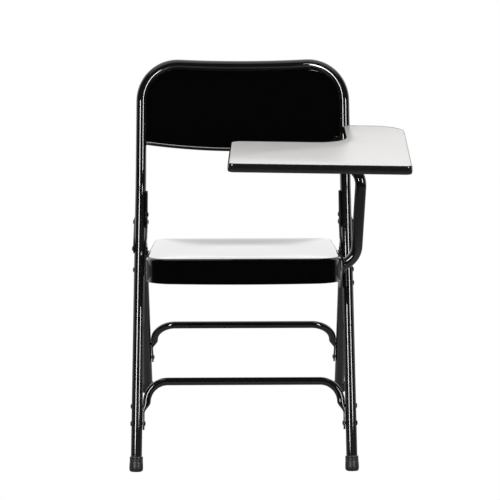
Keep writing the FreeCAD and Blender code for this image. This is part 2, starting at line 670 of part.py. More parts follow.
def top_edge_names(feature):
    """Edges that lie in the feature's upper face."""
    names = []
    for number, edge in enumerate(feature.Shape.Edges):
        if edge.BoundBox.ZMax - edge.BoundBox.ZMin < 1e-6 and abs(edge.BoundBox.ZMax) < 1e-6:
            names.append(f"Edge{number + 1}")
    return names


def seat_side_brackets():
    """Ear plates riveted to the skirts: the pivot in front, the upright slot behind."""
    frame = seat_frame()
    slot_top = SEAT_SLOT + Z_AXIS * dim("slot_travel")
    drift = dim("slot_drift")
    rivets = [frame.multVec(Vector(0, y, SKIRT_RIVET_Z)) for y in SKIRT_RIVET_YS]
    front_top = rivets[0] - Y_AXIS * EAR_FRONT_REACH
    circles = [(SEAT_PIVOT.y, SEAT_PIVOT.z, EAR_RADIUS), (SEAT_SLOT.y, SEAT_SLOT.z, EAR_RADIUS),
               (rivets[1].y, rivets[1].z, EAR_TOP_RADIUS), (front_top.y, front_top.z, EAR_TOP_RADIUS)]
    holes = [(SEAT_PIVOT.y, SEAT_PIVOT.z, "pin_radius + running_play")]
    holes += [(p.y, p.z, "rivet_radius") for p in rivets]
    for name, side in SIDES:
        body = plate(f"{name}_seat_bracket", circles, holes, SEAT_SIDE_X, "strap", side)
        slot = new_sketch(body, f"{name}_slot_outline", "YZ_Plane")
        play = dim("pin_radius") + drift / 2 + HEAD_GAP
        centre = SEAT_SLOT.y + drift / 2 - SLOT_DRIFT_BACK
        slot.addGeometry(hull_outline([(centre, SEAT_SLOT.z + SLOT_END, play),
                                       (centre, slot_top.z - SLOT_END, play)]))
        pocket_through(body, slot, f"{name}_slot")
        for number, point in enumerate(rivets):
            cross_rivet(f"{name}_seat_bracket_{('front', 'rear')[number]}_rivet", side, point,
                        SEAT_SIDE_X - dim("sheet"), EAR_OUTER_X, "rivet_radius")
    pan = next(node for node in nodes if node.Label == "seat_pan")
    holes_sketch = new_sketch(pan, "skirt_rivet_holes", "YZ_Plane")
    for y in SKIRT_RIVET_YS:
        bound_circle(holes_sketch, (y, SKIRT_RIVET_Z), "rivet_radius")
    pocket_through(pan, holes_sketch, "skirt_rivet_drills")


# ------------------------------------------------------------------- the tablet and its support
def support_arm(front_tube):
    """A tube from a bracket by the seat's corner, up, and back under the board to the frame."""
    arm_y, run_x, run_z = dim("arm_y"), dim("arm_run_x"), dim("arm_run_height")
    foot_x = BRACKET_X + dim("bracket_plate")
    foot = Vector(foot_x, arm_y, dim("arm_foot_height"))
    low = Vector(dim("arm_low_x"), arm_y, dim("arm_low_height"))
    points = [foot - (low - foot).normalize() * ARM_FOOT_LEAD, low,
              Vector(dim("arm_top_x"), arm_y, dim("arm_top_height")),
              Vector(run_x, dim("arm_run_y"), run_z), Vector(run_x, ARM_RUN_END_Y, run_z)]
    radii = [dim("arm_low_bend"), dim("arm_top_bend"), dim("arm_top_bend")]
    spine = path_feature("arm_path", bent_path(points, radii))
    outer = swept("arm_outer", spine, "tube_diameter / 2")
    bore = swept("arm_bore", spine, "tube_diameter / 2 - tube_wall")
    inboard = doc.addObject("Part::Box", "arm_foot_trim")
    inboard.Length = inboard.Width = inboard.Height = 4 * TUBE_RADIUS
    inboard.Placement.Base = foot - Vector(4 * TUBE_RADIUS, 2 * TUBE_RADIUS, 2 * TUBE_RADIUS)
    keep(cut("tablet_support_arm", outer, [bore, inboard, front_tube]), "tablet_support_arm")
    circles = [(foot.y, foot.z, BRACKET_END_RADIUS),
               (ARM_RIVET.y, ARM_RIVET.z, BRACKET_HEEL_RADIUS),
               (SEAT_PIVOT.y, SEAT_PIVOT.z, BRACKET_END_RADIUS)]
    holes = [(p.y, p.z, "pin_radius") for p in (ARM_RIVET, SEAT_PIVOT)]
    plate("arm_bracket", circles, holes, BRACKET_X, "bracket_plate", 1)
    tube_face = front_tube_x(ARM_RIVET.z)
    cross_rivet("arm_bracket_rivet", 1, ARM_RIVET, BRACKET_X, tube_face + TUBE_RADIUS,
                "pin_radius", [(foot_x, tube_face - TUBE_RADIUS + HEAD_SKIRT)], inner_head=False,
                tube=front_tube)
    rest_top = board_bottom() - HEAD_GAP
    web = doc.addObject("Part::Box", "rest_web")
    web.Length, web.Width, web.Height = REST_SHEET, REST_LENGTH, rest_top - run_z
    web.Placement.Base = Vector(run_x - TUBE_RADIUS - REST_SHEET, REST_Y, run_z)
    tab = doc.addObject("Part::Box", "rest_tab")
    tab.Length, tab.Width, tab.Height = REST_REACH, REST_LENGTH, REST_SHEET
    tab.Placement.Base = Vector(run_x - TUBE_RADIUS - REST_REACH, REST_Y, rest_top - REST_SHEET)
    keep(fuse("tablet_rest", [web, tab]), "tablet_rest")


def board_bottom():
    return dim("board_top") - dim("board_thickness")


def tablet_frame(height):
    """The board's frame: level at the arm's axis, rolled and yawed a little about it."""
    arm = Vector(dim("arm_run_x"), 0, dim("arm_run_height"))
    roll = Placement(arm, Rotation(Y_AXIS, BOARD_ROLL))
    return roll.multiply(Placement(Vector(0, 0, height - arm.z), Rotation(Z_AXIS, BOARD_YAW)))


def tablet():
    """A board with a laminate face and an edge moulding, on two saddles round the arm."""
    x0 = dim("arm_run_x")
    left, right_front, right = (dim(n) - x0 for n in
                                ("board_left_x", "board_right_front_x", "board_right_x"))
    front, rear = dim("board_front_y"), dim("board_rear_y")
    step, neck = front + dim("writing_depth"), dim("arm_part_x") - x0
    corners = [(left, front, BOARD_CORNER), (right_front, front, BOARD_CORNER),
               (right, rear, BOARD_REAR_ROUND), (neck, rear, BOARD_CORNER),
               (neck, step, BOARD_ELBOW_ROUND), (left, step, BOARD_LEFT_ROUND)]
    core_corners = inset(corners, dim("moulding"))
    core = new_body("tablet_board", tablet_frame(board_bottom()))
    outline = new_sketch(core, "board_outline")
    outline.addGeometry(rounded_outline(core_corners))
    pad(core, outline, "board_thickness - laminate", "board_core")
    face = new_body("tablet_laminate", tablet_frame(dim("board_top") - dim("laminate")))
    face_outline = new_sketch(face, "laminate_outline")
    face_outline.addGeometry(rounded_outline(core_corners))
    pad(face, face_outline, "laminate", "laminate_sheet")
    edge = new_body("tablet_edge_moulding", tablet_frame(board_bottom()))
    ring = new_sketch(edge, "moulding_outline")
    ring.addGeometry(rounded_outline(corners))
    ring.addGeometry(rounded_outline(core_corners))
    pad(edge, ring, "board_thickness", "moulding_band")
    for name, start in SADDLE_STARTS.items():
        saddle(f"tablet_{name}_saddle", start)


def saddle(label, start):
    """A strap round the under half of the arm, flanged against the board."""
    play = TUBE_RADIUS + SADDLE_PLAY
    outer = play + dim("saddle_wall")
    top = board_bottom() - dim("arm_run_height")
    arm = Vector(dim("arm_run_x"), start + dim("saddle_length"), dim("arm_run_height"))
    frame = Placement(arm, Rotation(Y_AXIS, BOARD_ROLL))
    flange, under = SADDLE_FLANGE, top - dim("saddle_wall")
    body = new_body(label, frame)
    section = new_sketch(body, label + "_section", "XZ_Plane")
    path = [(outer, under), (flange, under), (flange, top), (play, top)]
    right = [Vector(x, z, 0) for x, z in [(outer, 0)] + path + [(play, 0)]]
    left = [Vector(-p.x, p.y, 0) for p in right]
    lines = [Part.LineSegment(a, b) for a, b in zip(right, right[1:])]
    lines += [Part.LineSegment(a, b) for a, b in zip(left, left[1:])]
    bowls = [Part.Arc(Vector(-r, 0, 0), Vector(0, -r, 0), Vector(r, 0, 0)) for r in (play, outer)]
    section.addGeometry(lines + bowls)
    pad(body, section, "saddle_length", label + "_strap")
    drills = new_sketch(body, label + "_drills")
    for sign in (1, -1):
        bound_circle(drills, (sign * SCREW_X, -dim("saddle_length") / 2), "rivet_radius")
    pocket_through(body, drills, label + "_holes")
    for name, sign in SIDES:
        at = frame.multVec(Vector(sign * SCREW_X, -dim("saddle_length") / 2, under))
        down = frame.Rotation.multVec(-Z_AXIS)
        pieces = [rod(f"{label}_{name}_shank", at, -down, dim("saddle_wall"), "rivet_radius"),
                  dome(f"{label}_{name}_head", at, down)]
        keep(fuse(f"{label}_{name}_screw", pieces), f"{label}_{name}_screw")


# ------------------------------------------------------------------------------- the whole chair
front_outer = front_frame_tube()
backrest()
brace("front_brace", side_point, ALONG, FIXING_STATIONS["front"], front_tube_x,
      {1: front_outer, -1: front_outer})
for side_name, side_sign in SIDES:
    leg_top = front_leg_point(dim("back_bend_height"), side_sign)
    leg_foot = front_leg_point(0, side_sign)
    foot_cap(f"front_{side_name}_foot_cap", leg_foot, (leg_top - leg_foot).normalize())
front_frame_fixings(front_outer)
stop_plates()
support_arm(front_outer)
hinge_links()
rear_frame()
seat_pan()
seat_side_brackets()
tablet()
doc.recompute()

for item in doc.Objects:
    if {"Invalid", "Error"} & set(item.State):
        raise RuntimeError(f"{item.Name} failed: {item.State}")
for node in nodes:
    if node.Shape.isNull() or not node.Shape.isValid() or not node.Shape.Solids:
        raise RuntimeError(f"{node.Label} has no valid solid")

whole = App.BoundBox()
for node in nodes:
    whole.add(node.Shape.optimalBoundingBox(False))
to_origin = Vector(-whole.Center.x, -whole.Center.y, -whole.ZMin)
for node in nodes:
    shape = node.Shape.copy()
    shape.translate(to_origin)
    shape.exportStep(f"parts/{node.Label}.step")

print("nodes", len(nodes), "size", whole.XLength, whole.YLength, whole.ZLength)
print("moved by", tuple(round(value, 3) for value in to_origin))
for title, point in (("seat_pivot", SEAT_PIVOT), ("link_pivot", LINK_PIVOT),
                     ("leg_hinge", LEG_HINGE), ("seat_slot", SEAT_SLOT), ("rear_foot", REAR_FOOT)):
    print(title, round(point.y, 3), round(point.z, 3))
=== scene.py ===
# %% [markdown]
# # A folding student desk chair
# The chair is steel tube and pressed steel sheet under glossy black powder coat, with a writing
# tablet of laminated board on a tubular arm. The mechanical model comes in as a fixed frame, and
# this lesson dresses it: camera and studio first, then the finishes, then the pieces whose
# pressed, rolled or moulded shape a plain solid can't show.

# %% Load the mechanical frame
import json
import math

import bmesh
import bpy
from mathutils import Matrix, Vector


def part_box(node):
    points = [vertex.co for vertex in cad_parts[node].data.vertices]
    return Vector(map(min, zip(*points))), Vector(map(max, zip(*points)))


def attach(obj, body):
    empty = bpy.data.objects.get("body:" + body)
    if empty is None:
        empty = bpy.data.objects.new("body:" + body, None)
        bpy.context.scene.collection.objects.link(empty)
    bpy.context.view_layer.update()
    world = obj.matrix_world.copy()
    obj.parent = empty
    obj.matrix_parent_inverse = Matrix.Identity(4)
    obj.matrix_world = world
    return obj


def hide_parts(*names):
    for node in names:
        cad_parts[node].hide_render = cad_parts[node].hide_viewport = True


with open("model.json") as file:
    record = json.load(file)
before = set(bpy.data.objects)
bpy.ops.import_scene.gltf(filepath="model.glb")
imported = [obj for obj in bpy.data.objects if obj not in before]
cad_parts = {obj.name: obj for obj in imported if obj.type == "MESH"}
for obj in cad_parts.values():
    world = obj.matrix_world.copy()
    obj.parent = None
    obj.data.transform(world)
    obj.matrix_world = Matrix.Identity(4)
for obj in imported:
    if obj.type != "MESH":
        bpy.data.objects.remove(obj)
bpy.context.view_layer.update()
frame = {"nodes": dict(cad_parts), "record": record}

nodes = frame["nodes"]
scene = bpy.context.scene
MM = 0.001

# %% [markdown]
# The front feet give the chair's own middle line. The chair was drawn from a zero point on that
# line, 192 mm behind the front feet and on the floor, so `at` turns millimetres from there into
# the shared frame, and every new piece is placed with it. The legs are two straight lines on each
# side: from the front foot to the knee, where the tube bends back under the panel, and from the
# rear foot to the hinge. The camera stands three metres in front and 1.2 m up, and looks down about
# fourteen degrees with a long lens.

# %% Places and camera
left_foot_low, left_foot_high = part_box("front_left_foot_cap")
right_foot_low, right_foot_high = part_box("front_right_foot_cap")
middle_x = (left_foot_low.x + right_foot_high.x) / 2
ZERO_BEHIND_FOOT_CAP = 204.62 * MM
FRONT_FOOT = (217.3, -192)
REAR_FOOT = (220.5, 292)
FRONT_KNEE = (211.63, 37.2, 540)
REAR_HINGE = (212.05, 32.3, 461.8)
zero = Vector((middle_x, left_foot_low.y + ZERO_BEHIND_FOOT_CAP, 0))


def at(x, y, z):
    """A point in metres from millimetres measured on the chair."""
    return zero + Vector((x, y, z)) * MM


CAMERA_PLACE = at(-5.4, -3180.2, 1210.6)
CAMERA_TILT = math.radians(90 - 14.152)
CAMERA_TURN = math.radians(-0.344)
CAMERA_ROLL = math.radians(-0.115)
camera_data = bpy.data.cameras.new("studio_camera")
camera_data.lens = 114.28
camera_data.sensor_width = 36.0
camera = bpy.data.objects.new("studio_camera", camera_data)
scene.collection.objects.link(camera)
camera.matrix_world = (
    Matrix.Translation(CAMERA_PLACE)
    @ Matrix.Rotation(CAMERA_TURN, 4, "Z") @ Matrix.Rotation(CAMERA_TILT, 4, "X")
    @ Matrix.Rotation(CAMERA_ROLL, 4, "Z"))
scene.camera = camera
print("zero point", [round(v, 4) for v in zero], "camera", [round(v, 3) for v in camera.location])

# %% [markdown]
# Shader arithmetic reads best as arithmetic. `Signal` wraps one output socket, and adding or
# multiplying signals adds the Math nodes that do it. `Recipe` owns the node tree of one finish and
# makes every other node through one method.

# %% Shader helpers


class Signal:
    """One number that varies over a surface."""

    def __init__(self, recipe, socket):
        self.recipe, self.socket = recipe, socket

    def math(self, operation, first, second):
        made = self.recipe.node("ShaderNodeMath", {"operation": operation}, {0: first, 1: second})
        return Signal(self.recipe, made.outputs[0])

    def __add__(self, other):
        return self.math("ADD", self, other)

    def __radd__(self, other):
        return self.math("ADD", other, self)

    def __mul__(self, other):
        return self.math("MULTIPLY", self, other)


class Recipe:
    """The node tree of one finish, with its Principled shader."""

    def __init__(self, name, **constants):
        self.material = bpy.data.materials.new(name)
        self.material.use_nodes = True
        self.tree = self.material.node_tree
        self.shader = self.tree.nodes["Principled BSDF"]
        for socket, value in constants.items():
            self.shader.inputs[socket.replace("_", " ")].default_value = value

    def node(self, kind, settings=None, inputs=None):
        """Any node: its settings first, then the values or links of its sockets."""
        made = self.tree.nodes.new(kind)
        for key, value in (settings or {}).items():
            setattr(made, key, value)
        for key, value in (inputs or {}).items():
            self.feed(made.inputs[key], value)
        return made

    def feed(self, socket, value):
        if isinstance(value, Signal):
            value = value.socket
        if isinstance(value, bpy.types.NodeSocket):
            self.tree.links.new(value, socket)
        else:
            socket.default_value = value

    def drive(self, name, value):
        self.feed(self.shader.inputs[name], value)

    def place(self, stretch=(1, 1, 1)):
        """The object's own coordinates in metres, stretched per axis."""
        coordinates = self.node("ShaderNodeTexCoord").outputs["Object"]
        return self.node("ShaderNodeMapping", inputs={"Vector": coordinates,
                                                      "Scale": stretch}).outputs[0]

    def noise(self, per_metre, detail=2.0, roughness=0.5, stretch=(1, 1, 1)):
        made = self.node("ShaderNodeTexNoise", inputs={
            "Vector": self.place(stretch), "Scale": per_metre, "Detail": detail,
            "Roughness": roughness})
        return Signal(self, made.outputs["Fac"])

    def band(self, value, low, high):
        """0 below low, 1 above high, with a soft step between."""
        made = self.node("ShaderNodeMapRange", {"interpolation_type": "SMOOTHSTEP"},
                         {"Value": value, "From Min": low, "From Max": high})
        return Signal(self, made.outputs["Result"])

    def blend(self, factor, first, second):
        """A colour between two colours."""
        made = self.node("ShaderNodeMix", {"data_type": "RGBA"}, {"Factor": factor})
        self.feed(made.inputs[6], first)
        self.feed(made.inputs[7], second)
        return made.outputs[2]

    def worn_edges(self, low=0.52, high=0.60):
        """1 on sharp convex edges."""
        return self.band(Signal(self, self.node("ShaderNodeNewGeometry").outputs["Pointiness"]),
                         low, high)

    def bump(self, height, distance, strength=1.0):
        made = self.node("ShaderNodeBump", inputs={"Height": height, "Distance": distance,
                                                   "Strength": strength})
        self.drive("Normal", made.outputs[0])


def grey(level, warm=0.0):
    return (level * (1 + warm), level, level * (1 - warm), 1.0)


# %% [markdown]
# Glossy black shows nothing but reflections, so the studio is made of what the steel should
# mirror: a bright rear half that turns the raked seat white, a dark front half that keeps the
# back and the tubes black, a paper floor that greys the upright arm, and two narrow strip lights
# for the sharp lines on the tubes. The floor is pure white for the camera only, so it mirrors as
# grey paper. Once the seat and the concave back are made, the strips are told to skip them, because
# they would gather the strips into hot spots.

# %% Studio
scene.view_settings.view_transform = "Standard"
world = bpy.data.worlds.new("studio")
scene.world = world
world.use_nodes = True
sky = world.node_tree


def sky_node(kind, settings=None, inputs=None):
    made = sky.nodes.new(kind)
    for key, value in (settings or {}).items():
        setattr(made, key, value)
    for key, value in (inputs or {}).items():
        if isinstance(value, bpy.types.NodeSocket):
            sky.links.new(value, made.inputs[key])
        else:
            made.inputs[key].default_value = value
    return made


FRONT_DARK, REAR_BRIGHT = 0.02, 1.45
direction = sky_node("ShaderNodeSeparateXYZ",
                     inputs={0: sky_node("ShaderNodeTexCoord").outputs["Generated"]})
sweep = sky_node("ShaderNodeMapRange", {"interpolation_type": "SMOOTHSTEP"},
                 {"Value": direction.outputs["Y"], "From Min": 0.0, "From Max": 0.5,
                  "To Min": FRONT_DARK, "To Max": REAR_BRIGHT})
seen = sky_node("ShaderNodeMix", {"data_type": "FLOAT"},
                {0: sky_node("ShaderNodeLightPath").outputs["Is Camera Ray"],
                 2: sweep.outputs[0], 3: 1.0})
sky.links.new(seen.outputs[0], sky.nodes["Background"].inputs["Strength"])
sky.nodes["Background"].inputs["Color"].default_value = (1, 1, 1, 1)


def softbox(name, position, aim, width, height, watts):
    """A panel of light at a point of the chair's own millimetres, facing another."""
    data = bpy.data.lights.new(name, "AREA")
    data.shape, data.size, data.size_y, data.energy = "RECTANGLE", width, height, watts
    lamp = bpy.data.objects.new(name, data)
    scene.collection.objects.link(lamp)
    lamp.location = at(*position)
    lamp.rotation_mode = "QUATERNION"
    lamp.rotation_quaternion = (at(*aim) - lamp.location).to_track_quat("-Z", "Y")
    return lamp


STRIP_AIM, STRIP_LENGTH = (0, 0, 450), 0.85
STRIPS = (("strip_left", (-920, -1540, 1130), 0.24, 24),
          ("strip_right", (1180, -1330, 1130), 0.21, 20))
strips = [softbox(name, position, STRIP_AIM, width, STRIP_LENGTH, watts)
          for name, position, width, watts in STRIPS]
softbox("overhead", (100, -100, 2700), (100, -99, 0), 2.2, 1.4, 10)

FLOOR_RADIUS = 3.2
floor_mesh = bmesh.new()
bmesh.ops.create_circle(floor_mesh, cap_ends=True, segments=96, radius=FLOOR_RADIUS)
floor_data = bpy.data.meshes.new("paper_floor")
floor_mesh.to_mesh(floor_data)
floor = bpy.data.objects.new("paper_floor", floor_data)
scene.collection.objects.link(floor)
paper = Recipe("white_paper", Base_Color=grey(0.32), Roughness=0.9)
glow = paper.node("ShaderNodeEmission", inputs={"Color": grey(1.0), "Strength": 1.0})
to_camera = paper.node("ShaderNodeLightPath").outputs["Is Camera Ray"]
seen_paper = paper.node("ShaderNodeMixShader", inputs={0: to_camera, 1: paper.shader.outputs[0],
                                                       2: glow.outputs[0]})
paper.feed(paper.tree.nodes["Material Output"].inputs["Surface"], seen_paper.outputs[0])
floor_data.materials.append(paper.material)
print("studio has", len(strips), "strips and an overhead panel")

# %% [markdown]
# Every steel part wears the same powder coat. It is a thick plastic skin that flows in the oven,
# so it is very glossy but never quite flat: a fine orange peel, about two millimetres across,
# breaks the reflections, the gloss drifts where hands have polished or dulled it, and fine rubs
# run along the parts that get stacked and folded.

# %% Black powder coat


def powder_coat(name, level=0.005, gloss=0.04, peel=0.0000006, rubs=(1, 1, 1)):
    coat = Recipe(name, IOR=1.5, Coat_Weight=0.2, Coat_Roughness=0.04)
    cloud = coat.noise(26, detail=3)
    dust = coat.band(coat.noise(410, detail=5), 0.64, 0.80)
    rub = coat.band(coat.noise(95, detail=6, roughness=0.7, stretch=rubs), 0.62, 0.74)
    coat.drive("Base Color", coat.blend(dust * 0.35 + coat.worn_edges() * 0.4, grey(level),
                                        grey(level * 4, 0.04)))
    coat.drive("Roughness", gloss + cloud * 0.02 + dust * 0.05 + rub * 0.04)
    coat.bump(coat.noise(460, detail=1.5) + coat.noise(1500, detail=1) * 0.2, peel, 1.0)
    return coat.material


black_steel = powder_coat("black_powder_coat", rubs=(9, 9, 1))
seat_coat = powder_coat("seat_powder_coat", level=0.0035, gloss=0.075, rubs=(1, 7, 1))
sheet_coat = powder_coat("back_powder_coat", level=0.0035, gloss=0.10, rubs=(1, 1, 6))
rivet_black = powder_coat("rivet_black", level=0.010, gloss=0.16)

# %% [markdown]
# The other finishes are quieter. Rubber ferrules bloom grey and pick up floor dust, the vinyl
# edge band is moulded with a satin skin, the writing face is a hard pale laminate with a faint
# fleck, its underside is pressed wood chips, and the screws are zinc plated.

# %% Rubber, vinyl, laminate, chipboard and zinc


def rubber_finish():
    rubber = Recipe("foot_rubber_finish", IOR=1.5)
    bloom = rubber.noise(70, detail=5, roughness=0.6)
    scuffs = rubber.band(rubber.noise(260, detail=4, stretch=(1, 1, 5)), 0.58, 0.72)
    tone = rubber.blend(rubber.band(bloom, 0.35, 0.8), grey(0.006), grey(0.012, 0.02))
    rubber.drive("Base Color", rubber.blend(scuffs * 0.5 + rubber.worn_edges() * 0.4, tone,
                                            grey(0.03, 0.04)))
    rubber.drive("Roughness", 0.34 + bloom * 0.2)
    rubber.bump(rubber.noise(1400, detail=2), 0.00003, 0.6)
    return rubber.material


def laminate_finish():
    face = Recipe("pale_laminate", IOR=1.5)
    mottle = face.noise(38, detail=5, roughness=0.65)
    fleck = face.band(face.noise(1300, detail=2), 0.60, 0.72)
    base = face.blend(mottle, grey(0.53, 0.018), grey(0.57, 0.014))
    face.drive("Base Color", face.blend(fleck * 0.25, base, grey(0.40, 0.03)))
    face.drive("Roughness", 0.30 + mottle * 0.10)
    face.bump(face.noise(1800, detail=2), 0.00002, 0.5)
    return face.material


def vinyl_finish():
    vinyl = Recipe("edge_vinyl", IOR=1.5)
    cloud = vinyl.noise(70, detail=3)
    vinyl.drive("Base Color", vinyl.blend(cloud * 0.6 + vinyl.worn_edges() * 0.5, grey(0.005),
                                          grey(0.012)))
    vinyl.drive("Roughness", 0.09 + cloud * 0.06)
    vinyl.bump(vinyl.noise(900, detail=2), 0.00002, 0.5)
    return vinyl.material


def chipboard_finish():
    board = Recipe("chipboard", Roughness=0.75)
    chips = board.node("ShaderNodeTexVoronoi", {"feature": "F1"},
                       {"Vector": board.place((1.0, 0.4, 1.0)), "Scale": 330.0})
    shade = board.node("ShaderNodeSeparateColor", inputs={0: chips.outputs["Color"]}).outputs[0]
    stain = board.noise(18, detail=4)
    flakes = board.blend(shade, (0.20, 0.13, 0.07, 1), (0.42, 0.30, 0.18, 1))
    board.drive("Base Color", board.blend(board.band(stain, 0.4, 0.7) * 0.4, flakes,
                                          (0.22, 0.15, 0.09, 1)))
    board.bump(Signal(board, shade), 0.0002, 0.5)
    return board.material


def zinc_finish():
    zinc = Recipe("zinc_plate", Metallic=1.0)
    spangle = zinc.noise(300, detail=3)
    zinc.drive("Base Color", zinc.blend(spangle, (0.48, 0.48, 0.46, 1), (0.70, 0.70, 0.68, 1)))
    zinc.drive("Roughness", 0.28 + spangle * 0.2)
    return zinc.material


foot_rubber, laminate, edge_vinyl = rubber_finish(), laminate_finish(), vinyl_finish()
chipboard, zinc = chipboard_finish(), zinc_finish()

# %% [markdown]
# Every frame part names the finish that it takes, so one table dresses all of them.

# %% Dress the frame
FINISHES = {"black_steel": black_steel, "seat_enamel": seat_coat, "black_rivet": rivet_black,
            "screw_steel": zinc, "foot_rubber": foot_rubber, "plug_plastic": edge_vinyl,
            "laminate": laminate, "board_core": chipboard, "edge_moulding": edge_vinyl}
for part in frame["record"]["subparts"]:
    node = nodes[part["node"]]
    for slot in node.material_slots:
        slot.material = FINISHES[part["material_slot"]]
print("dressed", len(nodes), "frame parts")

# %% [markdown]
# All the new pieces are skins over rows of points. `skin` joins the rows, `outline` walks round a
# polygon with rounded corners and gives each point its outward normal, and `install` gives a
# piece its finish and its moving body, and hides the frame parts that it stands for.

# %% Mesh helpers


def skin(name, rows, loop=True, wrap=False, cap_first=False, cap_last=False, sharp=38):
    """A mesh over rows of points; loop closes each row and wrap joins the last to the first."""
    mesh = bmesh.new()
    grid = [[mesh.verts.new(point) for point in row] for row in rows]
    for lower, upper in zip(grid, grid[1:] + grid[:1] if wrap else grid[1:]):
        for i in range(len(lower) if loop else len(lower) - 1):
            j = (i + 1) % len(lower)
            mesh.faces.new((lower[i], lower[j], upper[j], upper[i]))
    for capped, row in ((cap_first, grid[0]), (cap_last, grid[-1])):
        if capped:
            mesh.faces.new(row)
    bmesh.ops.recalc_face_normals(mesh, faces=mesh.faces)
    data = bpy.data.meshes.new(name)
    mesh.to_mesh(data)
    mesh.free()
    data.shade_smooth()
    data.set_sharp_from_angle(angle=math.radians(sharp))
    piece = bpy.data.objects.new(name, data)
    scene.collection.objects.link(piece)
    return piece


def outline(corners, spacing=14.0, arc_step=7.0):
    """(point, outward normal) pairs anticlockwise round corners (x, y, radius)."""
    arcs = []
    for before, here, after in zip(corners[-1:] + corners[:-1], corners,
                                   corners[1:] + corners[:1]):
        corner, radius = Vector(here[:2]), here[2]
        arrive = (corner - Vector(before[:2])).normalized()
        leave = (Vector(after[:2]) - corner).normalized()
        turn = math.atan2(arrive.cross(leave), arrive.dot(leave))
        side = math.copysign(1, turn)
        start = corner - arrive * radius * math.tan(abs(turn) / 2)
        to_start = Vector((arrive.y, -arrive.x)) * side
        centre = start - to_start * radius
        steps = max(3, round(math.degrees(abs(turn)) / arc_step))
        spokes = [Matrix.Rotation(turn * k / steps, 2) @ to_start for k in range(steps + 1)]
        arcs.append([(centre + spoke * radius, spoke * side) for spoke in spokes])
    walk = []
    for arc, following in zip(arcs, arcs[1:] + arcs[:1]):
        walk += arc
        (last, normal), first = arc[-1], following[0][0]
        steps = max(1, round((first - last).length / spacing))
        walk += [(last.lerp(first, k / steps), normal) for k in range(1, steps)]
    return walk


def install(piece, body, material, slot, *stands_for):
    """Finish a piece, and hang it on the body it moves with."""
    piece.data.materials.append(material)
    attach(piece, body)
    if stands_for:
        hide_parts(*stands_for)
    return piece


def smoothstep(value, low, high):
    t = min(max((value - low) / (high - low), 0.0), 1.0)
    return t * t * (3 - 2 * t)


# %% [markdown]
# The seat is one pressed sheet. The press rolls a soft rim, dishes the middle a few millimetres so
# that a sitter doesn't slide, and turns the edge down into a deep front apron that steps up to
# shallow side skirts. The skin follows that order: dish, rim, skirt, rolled lower edge, and back
# up the inside one sheet thickness away, so the underside is as real as the top.

# %% Seat pan
SEAT_HALF, SEAT_DEPTH, SEAT_SLOPE = 192.0, 405.0, 7.9
SEAT_SHEET, RIM_RADIUS, DISH_DEPTH = 1.6, 6.0, 6.5
SEAT_FRONT_Y, SEAT_FRONT_Z, FRONT_CORNER, REAR_CORNER = -199, 441, 48, 30
APRON_MIDDLE, APRON_CORNER, SIDE_SKIRT = 50, 47.5, 19
STEP_START, STEP_END = 60, 123
DISH_START, DISH_FULL, DISH_RIM = 7, 95, 26
seat_place = Matrix.Translation(at(0, SEAT_FRONT_Y, SEAT_FRONT_Z)) @ Matrix.Rotation(
    math.radians(-SEAT_SLOPE), 4, "X") @ Matrix.Scale(MM, 4)
seat_walk = outline([(-SEAT_HALF, 0, FRONT_CORNER), (SEAT_HALF, 0, FRONT_CORNER),
                     (SEAT_HALF, SEAT_DEPTH, REAR_CORNER), (-SEAT_HALF, SEAT_DEPTH, REAR_CORNER)],
                    spacing=10, arc_step=5)
seat_middle = Vector((0, SEAT_DEPTH / 2))


def dish(x, y):
    """How far the press sinks the sheet at a point of the seat."""
    gaps = [max(SEAT_HALF - abs(x), 1), max(y, 1), max(SEAT_DEPTH - y, 1)]
    inside = sum(gap ** -3 for gap in gaps) ** (-1 / 3)
    return DISH_DEPTH * smoothstep(inside, DISH_START, DISH_FULL)


def skirt_drop(x, y):
    """How deep the turned-down edge is, all round."""
    if y <= STEP_START:
        return APRON_MIDDLE - (APRON_MIDDLE - APRON_CORNER) * (x / SEAT_HALF) ** 2
    return APRON_CORNER - (APRON_CORNER - SIDE_SKIRT) * smoothstep(y, STEP_START, STEP_END)


def seat_row(inset, height, shrink=1.0):
    row = []
    for point, normal in seat_walk:
        spot = point - normal * inset
        spot = seat_middle + (spot - seat_middle) * shrink
        row.append(seat_place @ Vector((spot.x, spot.y, height(spot.x, spot.y))))
    return row


def rim_rows(radius, edge, offset):
    """Quarter-round rows between the crown of the rim and the side of the skirt."""
    angles = [math.radians(a) for a in (90, 72, 54, 36, 18, 0)]
    return [seat_row(edge + radius - radius * math.cos(a),
                     lambda x, y, a=a: -offset - radius + radius * math.sin(a)) for a in angles]


DISH_SHRINKS = (0.03, 0.12, 0.24, 0.36, 0.48, 0.60, 0.70, 0.80, 0.88, 0.95, 1.0)
DISH_INSETS = (22, 18, 14, 11, 8.5)
ROLLED_EDGE = ((-0.5, 0.6), (0.3, -0.5), (1.9, -0.6), (2.7, 0.8), (2.4, 2.6), (SEAT_SHEET, 3.4))
seat_rows = [seat_row(DISH_RIM, lambda x, y: -dish(x, y), f) for f in DISH_SHRINKS]
seat_rows += [seat_row(d, lambda x, y: -dish(x, y)) for d in DISH_INSETS]
seat_rows += rim_rows(RIM_RADIUS, 0, 0)
for share in (0.3, 0.65, 0.93):
    seat_rows.append(seat_row(0, lambda x, y, share=share: -RIM_RADIUS - share * (
        skirt_drop(x, y) - RIM_RADIUS)))
seat_rows += [seat_row(inset, lambda x, y, rise=rise: rise - skirt_drop(x, y))
              for inset, rise in ROLLED_EDGE]
seat_rows += list(reversed(rim_rows(RIM_RADIUS - SEAT_SHEET, SEAT_SHEET, SEAT_SHEET)))
seat_rows += [seat_row(d, lambda x, y: -dish(x, y) - SEAT_SHEET) for d in reversed(DISH_INSETS)]
seat_rows += [seat_row(DISH_RIM, lambda x, y: -dish(x, y) - SEAT_SHEET, f)
              for f in reversed(DISH_SHRINKS)]
